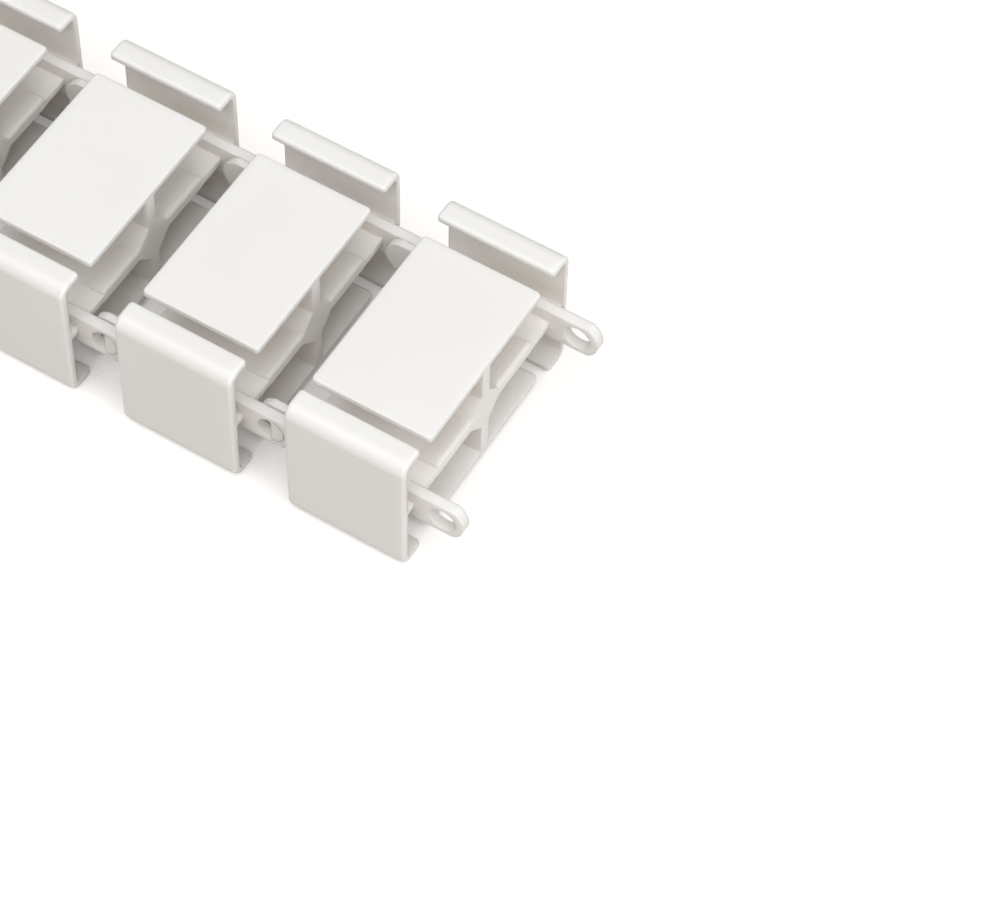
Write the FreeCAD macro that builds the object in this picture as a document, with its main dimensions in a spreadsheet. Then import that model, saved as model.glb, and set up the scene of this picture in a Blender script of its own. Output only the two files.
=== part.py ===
import FreeCAD, Part
import os
import Sketcher
from FreeCAD import Vector

# Cable spine: a chain of equal links that hinge on stub pins.
# Link 1 is the free end, and the middle of its open hinge is the origin. X runs along the chain
# toward the free end, Y across it and Z up.

os.makedirs("parts", exist_ok=True)
doc = FreeCAD.newDocument("CableSpine")

# Driving dimensions in millimetres, then what follows from them

sheet = doc.addObject("Spreadsheet::Sheet", "Sizes")
next_row = 1
LINK_COUNT = 20


def cell(alias, content):
    global next_row
    sheet.set(f"A{next_row}", alias)
    sheet.set(f"B{next_row}", content)
    sheet.setAlias(f"B{next_row}", alias)
    next_row += 1


cell("pitch", "45")
cell("plate_width", "47")
cell("plate_thickness", "1.8")
cell("plate_sink", "2.3")
cell("slot_width", "4.6")
cell("lip_width", "7.2")
cell("walls_height", "38.4")
cell("wall_thickness", "1.8")
cell("wall_radius", "3.3")
cell("wall_lead", "0.4")
cell("web_thickness", "3.2")
cell("gusset_leg", "4.7")
cell("deck_thickness", "2")
cell("rim_height", "3.9")
cell("rim_length", "6")
cell("rim_inset", "3.5")
cell("rim_radius", "0.9")
cell("rim_land", "0.075")
cell("arm_clearance", "3")
cell("arm_thickness", "2.7")
cell("arm_height", "9.2")
cell("arm_swell", "0.8")
cell("tip_clearance", "1.2")
cell("bore_diameter", "7")
cell("pin_clearance", "0.06")
cell("arm_gap", "0.3")
cell("lug_thickness", "2")
cell("lug_height", "10.2")
cell("lug_swell", "0.2")
cell("rib_overlap", "4")
cell("corner_radius", "1")
cell("plate_edge", "0.4")
cell("wall_edge", "0.8")

cell("overall_width", "=plate_width + 2 * (slot_width + lip_width)")
cell("plates_height", "=walls_height - 2 * plate_sink")
cell("plate_side", "=plate_width / 2")
cell("plate_top", "=plates_height / 2")
cell("plate_under", "=plate_top - plate_thickness")
cell("wall_side", "=overall_width / 2")
cell("wall_inside", "=wall_side - wall_thickness")
cell("wall_top", "=walls_height / 2")
cell("lip_under", "=wall_top - wall_thickness")
cell("lip_edge", "=plate_side + slot_width")
cell("wall_inner_radius", "=wall_radius - wall_thickness")
cell("web_side", "=web_thickness / 2")
cell("deck_top", "=deck_thickness / 2")
cell("gusset_side", "=web_side + gusset_leg")
cell("gusset_top", "=deck_top + gusset_leg")
cell("arm_span", "=overall_width - 2 * (wall_thickness + arm_clearance)")
cell("arm_outside", "=arm_span / 2")
cell("arm_inside", "=arm_outside - arm_thickness")
cell("arm_side", "=arm_height / 2")
cell("arm_end_radius", "=arm_side + arm_swell")
cell("lug_outside", "=arm_inside - arm_gap")
cell("lug_inside", "=lug_outside - lug_thickness")
cell("lug_side", "=lug_height / 2")
cell("lug_end_radius", "=lug_side + lug_swell")
cell("hinge_reach", "=pitch / 2 + wall_lead")
cell("lug_reach", "=pitch - hinge_reach")
cell("plate_length", "=2 * (lug_reach - arm_end_radius - tip_clearance)")
cell("half_length", "=plate_length / 2")
cell("rim_width", "=plate_width - 2 * rim_inset")
cell("rim_top", "=rim_height / 2")
cell("rim_side", "=rim_width / 2")
cell("rim_start", "=half_length - rim_length")
cell("rim_shoulder", "=half_length - rim_radius - rim_land")
cell("rib_half", "=rib_overlap / 2")
cell("rib_width", "=arm_outside - lug_inside")
cell("bore_radius", "=bore_diameter / 2")
cell("pin_radius", "=bore_radius - pin_clearance")
cell("pin_length", "=arm_outside - lug_outside")
cell("nothing", "0")
doc.recompute()


def size(alias):
    """The value of a sheet cell, with the sign that stands before its alias."""
    if alias.startswith("-"):
        return -float(sheet.get(alias[1:]))
    return float(sheet.get(alias))


def bound(alias):
    """The expression that ties a size to its sheet cell."""
    if alias.startswith("-"):
        return f"-Sizes.{alias[1:]}"
    return f"Sizes.{alias}"


# Sketches

def new_sketch(body, name, plane, offset=None):
    """A sketch on one of the body's own origin planes, moved along its normal by a size."""
    sketch = body.newObject("Sketcher::SketchObject", name)
    face = [f for f in body.Origin.OriginFeatures if f.Role == plane][0]
    sketch.AttachmentSupport = [(face, "")]
    sketch.MapMode = "FlatFace"
    if offset:
        sketch.setExpression("AttachmentOffset.Base.z", bound(offset))
    return sketch


def tie(sketch, kind, value, *where):
    """A dimension between the given points, bound to a sheet size."""
    index = sketch.addConstraint(Sketcher.Constraint(kind, *where, size(value)))
    sketch.setExpression(f"Constraints[{index}]", bound(value))


def place_point(sketch, curve, point, across, up):
    """Ties a point of a curve to the sheet by its two distances from the sketch's origin."""
    tie(sketch, "DistanceX", across, -1, 1, curve, point)
    tie(sketch, "DistanceY", up, -1, 1, curve, point)


def draw_outline(sketch, corners):
    """A closed outline of straight lines through corners that are pairs of sheet sizes."""
    points = [Vector(size(across), size(up), 0) for across, up in corners]
    count = len(corners)
    first = sketch.GeometryCount
    for n in range(count):
        sketch.addGeometry(Part.LineSegment(points[n], points[(n + 1) % count]), False)
    for n in range(count):
        here = first + n
        after = first + (n + 1) % count
        sketch.addConstraint(Sketcher.Constraint("Coincident", here, 2, after, 1))
        place_point(sketch, here, 1, *corners[n])


def draw_bar(sketch, centre, radius, side, square_end):
    """A bar along X with straight sides, a round end about centre and a square other end."""
    x = size(centre)
    r = size(radius)
    half = size(side)
    end = size(square_end)
    way = 1 if x > end else -1
    shoulder = x + way * (r * r - half * half) ** 0.5
    corners = [
        Vector(shoulder, way * half, 0),
        Vector(end, way * half, 0),
        Vector(end, -way * half, 0),
        Vector(shoulder, -way * half, 0),
    ]
    sketch.addGeometry(Part.Arc(corners[3], Vector(x + way * r, 0, 0), corners[0]), False)
    for n in range(3):
        sketch.addGeometry(Part.LineSegment(corners[n], corners[n + 1]), False)
    for n in range(4):
        sketch.addConstraint(Sketcher.Constraint("Coincident", n, 2, (n + 1) % 4, 1))
    for n in (1, 3):
        sketch.addConstraint(Sketcher.Constraint("Horizontal", n))
    sketch.addConstraint(Sketcher.Constraint("Symmetric", 2, 1, 2, 2, -1))
    place_point(sketch, 0, 3, centre, "nothing")
    tie(sketch, "Radius", radius, 0)
    tie(sketch, "DistanceX", square_end, -1, 1, 2, 1)
    tie(sketch, "DistanceY", side if way > 0 else f"-{side}", -1, 1, 2, 1)


def draw_circle(sketch, centre, radius):
    circle = Part.Circle(Vector(size(centre), 0, 0), Vector(0, 0, 1), size(radius))
    sketch.addGeometry(circle, False)
    place_point(sketch, 0, 3, centre, "nothing")
    tie(sketch, "Radius", radius, 0)


def draw_half_disc(sketch, centre, radius):
    """The half of a disc that lies toward plus X, with its straight side through the centre."""
    x = size(centre)
    r = size(radius)
    lowest = Vector(x, -r, 0)
    highest = Vector(x, r, 0)
    sketch.addGeometry(Part.Arc(lowest, Vector(x + r, 0, 0), highest), False)
    sketch.addGeometry(Part.LineSegment(highest, lowest), False)
    sketch.addConstraint(Sketcher.Constraint("Coincident", 0, 2, 1, 1))
    sketch.addConstraint(Sketcher.Constraint("Coincident", 1, 2, 0, 1))
    sketch.addConstraint(Sketcher.Constraint("Vertical", 1))
    place_point(sketch, 0, 3, centre, "nothing")
    tie(sketch, "DistanceX", centre, -1, 1, 1, 1)
    tie(sketch, "Radius", radius, 0)


# Features

def new_pad(body, name, sketch, length, both_ways=False, reverse=False):
    pad = body.newObject("PartDesign::Pad", name)
    pad.Profile = sketch
    pad.setExpression("Length", bound(length))
    pad.SideType = "Symmetric" if both_ways else "One side"
    pad.Reversed = reverse
    return pad


def new_pocket(body, name, sketch):
    """A cut that runs both ways from its sketch, right through."""
    pocket = body.newObject("PartDesign::Pocket", name)
    pocket.Profile = sketch
    pocket.Type = "ThroughAll"
    pocket.SideType = "Symmetric"
    return pocket


def round_edges(body, name, radius, wanted):
    """Rounds those edges of the body's tip that wanted picks out by their two end points."""
    doc.recompute()
    base = body.Tip
    picked = []
    for number, edge in enumerate(base.Shape.Edges, start=1):
        if wanted([v.Point for v in edge.Vertexes]):
            picked.append(f"Edge{number}")
    fillet = body.newObject("PartDesign::Fillet", name)
    fillet.Base = (base, picked)
    fillet.setExpression("Radius", bound(radius))
    return fillet


def close(value, alias):
    return abs(abs(value) - size(alias)) < 0.001


# Two sections that run along a link, drawn on the side that lies toward minus Y

PLATES = [
    ("nothing", "plate_top"),
    ("-plate_side", "plate_top"),
    ("-plate_side", "plate_under"),
    ("-web_side", "plate_under"),
    ("-web_side", "gusset_top"),
    ("-gusset_side", "deck_top"),
    ("-wall_inside", "deck_top"),
]
WALL = [
    ("-wall_inside", "lip_under"),
    ("-lip_edge", "lip_under"),
    ("-lip_edge", "wall_top"),
    ("-wall_side", "wall_top"),
]


def lower(corner):
    """The same corner below the middle plane."""
    across, up = corner
    return (across, up if up == "nothing" else f"-{up}")


def add_plates(body):
    """The web with its gussets, which holds the top, middle and bottom plates."""
    sketch = new_sketch(body, "Plates", "YZ_Plane")
    draw_outline(sketch, PLATES + [lower(c) for c in reversed(PLATES)])
    new_pad(body, "PlatesPad", sketch, "plate_length", both_ways=True)


def add_wall(body):
    """The side wall with its two lips. It stands midway between the link's two hinges."""
    sketch = new_sketch(body, "Wall", "YZ_Plane", "wall_lead")
    draw_outline(sketch, WALL + [lower(c) for c in reversed(WALL)])
    new_pad(body, "WallPad", sketch, "plate_length", both_ways=True)


def add_rim(body):
    """The thicker end of the middle plate, which cables pass over."""
    upper = [("rim_start", "deck_top"), ("rim_shoulder", "rim_top"), ("half_length", "rim_top")]
    sketch = new_sketch(body, "Rim", "XZ_Plane")
    draw_outline(sketch, upper + [lower(c) for c in reversed(upper)])
    new_pad(body, "RimPad", sketch, "rim_side")


def add_arm(body):
    sketch = new_sketch(body, "Arm", "XZ_Plane", "arm_inside")
    draw_bar(sketch, "hinge_reach", "arm_end_radius", "arm_side", "-rib_half")
    new_pad(body, "ArmPad", sketch, "arm_thickness")
    bore = new_sketch(body, "Bore", "XZ_Plane")
    draw_circle(bore, "hinge_reach", "bore_radius")
    new_pocket(body, "BorePocket", bore)


def add_lug(body):
    """The lug and the half-round stub pin that snaps into the bore of the next arm."""
    sketch = new_sketch(body, "Lug", "XZ_Plane", "lug_inside")
    draw_bar(sketch, "-lug_reach", "lug_end_radius", "lug_side", "rib_half")
    new_pad(body, "LugPad", sketch, "lug_thickness")
    pin = new_sketch(body, "Pin", "XZ_Plane", "lug_outside")
    draw_half_disc(pin, "-lug_reach", "pin_radius")
    new_pad(body, "PinPad", pin, "pin_length")


def add_rib_joint(body):
    """The block in mid-link that joins the arm's rib to the lug's."""
    sketch = new_sketch(body, "RibJoint", "XZ_Plane", "lug_inside")
    draw_outline(sketch, [
        ("rib_half", "arm_side"),
        ("-rib_half", "arm_side"),
        ("-rib_half", "-arm_side"),
        ("rib_half", "-arm_side"),
    ])
    new_pad(body, "RibJointPad", sketch, "rib_width")


# Which edges are rounded, told by their end points

def along_x(ends):
    return len(ends) == 2 and abs(ends[0].x - ends[1].x) > size("half_length")


def on_wall_outside(ends):
    return along_x(ends) and all(close(p.y, "wall_side") and close(p.z, "wall_top") for p in ends)


def on_wall_inside(ends):
    return along_x(ends) and all(close(p.y, "wall_inside") and close(p.z, "lip_under") for p in ends)


def on_plan_corner(ends):
    """The upright corners of the plates and of the lips."""
    if len(ends) != 2 or abs(ends[0].z - ends[1].z) < 0.001:
        return False
    plate = all(close(p.y, "plate_side") and close(p.x, "half_length") for p in ends)
    lip = all(close(p.y, "lip_edge") for p in ends)
    return plate or lip


def on_plate_rim(ends):
    """The outer edge of the top and of the bottom plate."""
    flat = len(ends) == 2 and all(close(p.z, "plate_top") for p in ends)
    return flat and any(abs(p.y) > 0.001 for p in ends)


def on_wall_rim(ends):
    """The edge of a lip that faces the slot, from which the rounding runs on round the wall."""
    return along_x(ends) and all(close(p.y, "lip_edge") and close(p.z, "wall_top") for p in ends)


def on_rim_nose(ends):
    """The upper and the lower end edge of the rim."""
    return len(ends) == 2 and all(close(p.x, "half_length") and close(p.z, "rim_top") for p in ends)


def new_body(number):
    """An empty body, one pitch further from the free end for each number after 1."""
    name = f"link_{number:02d}"
    body = doc.addObject("PartDesign::Body", name)
    body.Label = name
    body.setExpression("Placement.Base.x", f"-Sizes.hinge_reach - {number - 1} * Sizes.pitch")
    return body


def build_link(number):
    body = new_body(number)
    add_plates(body)
    add_wall(body)
    add_rim(body)
    add_rib_joint(body)
    add_arm(body)
    add_lug(body)
    round_edges(body, "WallRounding", "wall_radius", on_wall_outside)
    round_edges(body, "WallInnerRounding", "wall_inner_radius", on_wall_inside)
    round_edges(body, "PlanCorners", "corner_radius", on_plan_corner)
    round_edges(body, "PlateEdges", "plate_edge", on_plate_rim)
    round_edges(body, "WallEdges", "wall_edge", on_wall_rim)
    round_edges(body, "RimNose", "rim_radius", on_rim_nose)
    doc.recompute()
    mirror = body.newObject("PartDesign::Mirrored", "BothSides")
    mirror.TransformMode = "Whole shape"
    middle = [f for f in body.Origin.OriginFeatures if f.Role == "XZ_Plane"][0]
    mirror.MirrorPlane = (middle, [""])
    body.Tip = mirror
    return body


def clone_link(original, number):
    """The same moulding again, as a body of its own that follows the first one's sizes."""
    body = new_body(number)
    clone = body.newObject("PartDesign::FeatureBase", "Clone")
    clone.BaseFeature = original
    body.Tip = clone
    return body


first_link = build_link(1)
doc.recompute()
links = [first_link] + [clone_link(first_link, number) for number in range(2, LINK_COUNT + 1)]
doc.recompute()

# Every object must have worked out before anything is written

for thing in doc.Objects:
    if "Invalid" in thing.State or "Error" in thing.State:
        raise RuntimeError(f"{thing.Label} did not recompute: {thing.State}")
for link in links:
    if link.Shape.isNull() or not link.Shape.isValid() or len(link.Shape.Solids) != 1:
        raise RuntimeError(f"{link.Label} is not one valid solid")
for link in links:
    link.Shape.exportStep(f"parts/{link.Label}.step")
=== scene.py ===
import math

import bpy
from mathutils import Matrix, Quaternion, Vector


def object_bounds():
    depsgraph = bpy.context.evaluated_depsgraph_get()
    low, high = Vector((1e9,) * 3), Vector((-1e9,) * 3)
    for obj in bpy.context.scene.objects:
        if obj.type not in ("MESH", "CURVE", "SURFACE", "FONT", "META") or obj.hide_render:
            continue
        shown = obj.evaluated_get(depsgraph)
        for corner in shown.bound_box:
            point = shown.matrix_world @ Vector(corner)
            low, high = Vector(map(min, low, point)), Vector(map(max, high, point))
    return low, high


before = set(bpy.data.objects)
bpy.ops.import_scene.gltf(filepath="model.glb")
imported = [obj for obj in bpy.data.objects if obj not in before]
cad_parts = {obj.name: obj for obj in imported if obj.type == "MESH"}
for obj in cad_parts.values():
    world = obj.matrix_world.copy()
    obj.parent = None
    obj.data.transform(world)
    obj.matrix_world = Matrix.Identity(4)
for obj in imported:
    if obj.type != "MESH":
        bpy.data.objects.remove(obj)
cad_low, cad_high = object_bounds()

# The links. Each one is a single moulding of tough white plastic: plates, web, lipped side walls,
# arms and stub pins come out of one mould, and the pins of its neighbour snap into its arms.
# The mould leaves a fine satin grain, and the thin walls are a little uneven where they cooled.

PLASTIC_LIGHT = (0.908, 0.866, 0.822, 1.0)
PLASTIC_DARK = (0.890, 0.845, 0.797, 1.0)
PLASTIC_IOR = 1.49
SHINIEST = (0.36, 0.36, 0.36, 1.0)
DULLEST = (0.46, 0.46, 0.46, 1.0)
SPREAD_LOW = 0.35
SPREAD_HIGH = 0.65

TINT_PER_METRE = 22.0
TINT_DETAIL = 2.0
GRAIN_PER_METRE = 2600.0
GRAIN_DETAIL = 3.0
GRAIN_DEPTH = 0.00002
GRAIN_STRENGTH = 0.35
SINK_PER_METRE = 55.0
SINK_DETAIL = 1.0
SINK_DEPTH = 0.0003
SINK_STRENGTH = 0.25

EDGE_SOFTNESS = 0.00045
EDGE_SAMPLES = 4
SCATTER_SHARE = 0.65
SCATTER_REACH = 0.002
SCATTER_BY_COLOUR = (1.0, 1.0, 1.0)


def link(nodes, from_socket, to_socket):
    nodes.id_data.links.new(from_socket, to_socket)


def noise(nodes, place, scale, detail):
    """A noise over the chain's own coordinates, so that it doesn't repeat from link to link."""
    texture = nodes.new("ShaderNodeTexNoise")
    texture.inputs["Scale"].default_value = scale
    texture.inputs["Detail"].default_value = detail
    link(nodes, place.outputs["Object"], texture.inputs["Vector"])
    return texture


def ramp(nodes, texture, low, high):
    """Spreads a noise between two colours or two levels of grey."""
    spread = nodes.new("ShaderNodeValToRGB")
    spread.color_ramp.elements[0].position = SPREAD_LOW
    spread.color_ramp.elements[1].position = SPREAD_HIGH
    spread.color_ramp.elements[0].color = low
    spread.color_ramp.elements[1].color = high
    link(nodes, texture.outputs["Fac"], spread.inputs["Fac"])
    return spread


def bump(nodes, texture, depth, strength, under):
    """A shallow relief of the given depth in metres, laid over what the node under it gives."""
    relief = nodes.new("ShaderNodeBump")
    relief.inputs["Distance"].default_value = depth
    relief.inputs["Strength"].default_value = strength
    link(nodes, texture.outputs["Fac"], relief.inputs["Height"])
    link(nodes, under.outputs["Normal"], relief.inputs["Normal"])
    return relief


def moulded_plastic():
    material = bpy.data.materials.new("moulded_white_plastic")
    material.use_nodes = True
    nodes = material.node_tree.nodes
    shader = nodes["Principled BSDF"]
    place = nodes.new("ShaderNodeTexCoord")

    mottle = noise(nodes, place, TINT_PER_METRE, TINT_DETAIL)
    tint = ramp(nodes, mottle, PLASTIC_DARK, PLASTIC_LIGHT)
    link(nodes, tint.outputs["Color"], shader.inputs["Base Color"])

    grain = noise(nodes, place, GRAIN_PER_METRE, GRAIN_DETAIL)
    sheen = ramp(nodes, grain, SHINIEST, DULLEST)
    link(nodes, sheen.outputs["Color"], shader.inputs["Roughness"])

    soft_edge = nodes.new("ShaderNodeBevel")
    soft_edge.samples = EDGE_SAMPLES
    soft_edge.inputs["Radius"].default_value = EDGE_SOFTNESS
    waves = noise(nodes, place, SINK_PER_METRE, SINK_DETAIL)
    sink = bump(nodes, waves, SINK_DEPTH, SINK_STRENGTH, soft_edge)
    satin = bump(nodes, grain, GRAIN_DEPTH, GRAIN_STRENGTH, sink)
    link(nodes, satin.outputs["Normal"], shader.inputs["Normal"])

    shader.inputs["IOR"].default_value = PLASTIC_IOR
    shader.inputs["Subsurface Weight"].default_value = SCATTER_SHARE
    shader.inputs["Subsurface Radius"].default_value = SCATTER_BY_COLOUR
    shader.inputs["Subsurface Scale"].default_value = SCATTER_REACH
    return material


plastic = moulded_plastic()
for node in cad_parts.values():
    for material_slot in node.material_slots:
        material_slot.material = plastic

# The floor. A pale, even surface that the lower lips rest on. The camera sees it near white, with a
# soft shadow of the links. Where they stand close over it, it lies in deep shade, and its glow is
# cut there by an occlusion mask, which paints shade deeper than the lamps give. It sinks with the
# lowest link, so that it doesn't hide a chain that is bent downward.

FLOOR_SIZE = 8.0
FLOOR_COLOUR = (0.53, 0.49, 0.45, 1.0)
FLOOR_GLOW = 0.6
SHADE_GLOW = 0.2
SHADE_REACH = 0.05
SHADE_DEEP = 0.2
SHADE_OPEN = 0.4
SHADE_SAMPLES = 8


def combined(nodes, operation, first, second):
    """A maths node over two sockets."""
    maths = nodes.new("ShaderNodeMath")
    maths.operation = operation
    link(nodes, first, maths.inputs[0])
    link(nodes, second, maths.inputs[1])
    return maths.outputs["Value"]


def pale_floor():
    material = bpy.data.materials.new("pale_floor")
    material.use_nodes = True
    nodes = material.node_tree.nodes
    nodes.remove(nodes["Principled BSDF"])
    matt = nodes.new("ShaderNodeBsdfDiffuse")
    matt.inputs["Color"].default_value = FLOOR_COLOUR

    # Painted shade: the floor's glow is lowered where the links stand close over it.
    open_above = nodes.new("ShaderNodeAmbientOcclusion")
    open_above.samples = SHADE_SAMPLES
    open_above.inputs["Distance"].default_value = SHADE_REACH
    whiteness = nodes.new("ShaderNodeMapRange")
    whiteness.inputs["From Min"].default_value = SHADE_DEEP
    whiteness.inputs["From Max"].default_value = SHADE_OPEN
    whiteness.inputs["To Min"].default_value = SHADE_GLOW
    whiteness.inputs["To Max"].default_value = FLOOR_GLOW
    link(nodes, open_above.outputs["AO"], whiteness.inputs["Value"])

    glow = nodes.new("ShaderNodeEmission")
    ray = nodes.new("ShaderNodeLightPath").outputs
    seen = combined(nodes, "ADD", ray["Is Camera Ray"], ray["Is Glossy Ray"])
    seen = combined(nodes, "ADD", seen, ray["Is Transmission Ray"])
    strength = combined(nodes, "MULTIPLY", whiteness.outputs["Result"], seen)
    link(nodes, strength, glow.inputs["Strength"])

    both = nodes.new("ShaderNodeAddShader")
    link(nodes, matt.outputs["BSDF"], both.inputs[0])
    link(nodes, glow.outputs["Emission"], both.inputs[1])
    link(nodes, both.outputs["Shader"], nodes["Material Output"].inputs["Surface"])
    return material


def keep_under(sheet, pieces):
    """Sinks a level sheet that lies at the foot of the pieces as far as the lowest piece sinks."""
    group = bpy.data.node_groups.new("under_links", "GeometryNodeTree")
    for direction in ("INPUT", "OUTPUT"):
        group.interface.new_socket(
            "Geometry", in_out=direction, socket_type="NodeSocketGeometry"
        )
    nodes = group.nodes
    start = nodes.new("NodeGroupInput")
    end = nodes.new("NodeGroupOutput")

    together = nodes.new("GeometryNodeJoinGeometry")
    for piece in pieces:
        source = nodes.new("GeometryNodeObjectInfo")
        source.transform_space = "RELATIVE"
        source.inputs["Object"].default_value = piece
        link(nodes, source.outputs["Geometry"], together.inputs["Geometry"])
    box = nodes.new("GeometryNodeBoundBox")
    link(nodes, together.outputs["Geometry"], box.inputs["Geometry"])
    lowest = nodes.new("ShaderNodeSeparateXYZ")
    link(nodes, box.outputs["Min"], lowest.inputs["Vector"])

    drop = nodes.new("ShaderNodeCombineXYZ")
    link(nodes, lowest.outputs["Z"], drop.inputs["Z"])
    sunk = nodes.new("GeometryNodeSetPosition")
    link(nodes, start.outputs["Geometry"], sunk.inputs["Geometry"])
    link(nodes, drop.outputs["Vector"], sunk.inputs["Offset"])
    link(nodes, sunk.outputs["Geometry"], end.inputs["Geometry"])
    sheet.modifiers.new("under_links", "NODES").node_group = group


middle = (cad_low + cad_high) / 2
bpy.ops.mesh.primitive_plane_add(size=FLOOR_SIZE, location=(middle.x, middle.y, cad_low.z))
floor = bpy.context.object
floor.name = "floor"
floor.data.materials.append(pale_floor())
keep_under(floor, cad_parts.values())

# The light. An even, faintly cool white surround, a broad soft lamp above and in front that reaches
# down between the plates, and a weaker one on the side of the free end.

SURROUND_COLOUR = (0.95, 0.975, 1.0, 1.0)
SURROUND_STRENGTH = 0.33
LAMP_COLOUR = (0.94, 0.972, 1.0)

world = bpy.data.worlds.new("white_surround")
world.use_nodes = True
surround = world.node_tree.nodes["Background"]
surround.inputs["Color"].default_value = SURROUND_COLOUR
surround.inputs["Strength"].default_value = SURROUND_STRENGTH
bpy.context.scene.world = world


def soft_lamp(name, place, aim, width, watts):
    data = bpy.data.lights.new(name, "AREA")
    data.shape = "SQUARE"
    data.size = width
    data.energy = watts
    data.color = LAMP_COLOUR
    lamp = bpy.data.objects.new(name, data)
    lamp.location = place
    lamp.rotation_euler = (Vector(aim) - Vector(place)).to_track_quat("-Z", "Y").to_euler()
    bpy.context.scene.collection.objects.link(lamp)


soft_lamp("lamp_above", place=(0.1, -0.62, 1.62), aim=(-0.3, 0.0, 0.0), width=1.8, watts=25.5)
soft_lamp("lamp_free_end", place=(1.4, -0.2, 0.9), aim=(-0.1, 0.0, 0.0), width=1.0, watts=10)

# The camera. It stands in front of the free end and looks steeply down along the chain, a little
# rolled, as the photograph's did.

AIM = Vector((0.0021, -0.0094, 0.0))
DISTANCE = 0.7976
AZIMUTH = math.radians(29.66)
ELEVATION = math.radians(55.82)
ROLL = math.radians(2.016)
SENSOR_MM = 36.0
FOCAL_LENGTH_MM = 129.0

camera = bpy.data.objects.new("camera", bpy.data.cameras.new("camera"))
bpy.context.scene.collection.objects.link(camera)
back = Vector((
    math.sin(AZIMUTH) * math.cos(ELEVATION),
    -math.cos(AZIMUTH) * math.cos(ELEVATION),
    math.sin(ELEVATION),
))
camera.location = AIM + back * DISTANCE
level = (-back).to_track_quat("-Z", "Y")
camera.rotation_mode = "QUATERNION"
camera.rotation_quaternion = level @ Quaternion((0.0, 0.0, 1.0), ROLL)
camera.data.sensor_width = SENSOR_MM
camera.data.lens = FOCAL_LENGTH_MM
bpy.context.scene.camera = camera
bpy.context.scene.view_settings.view_transform = "Standard"
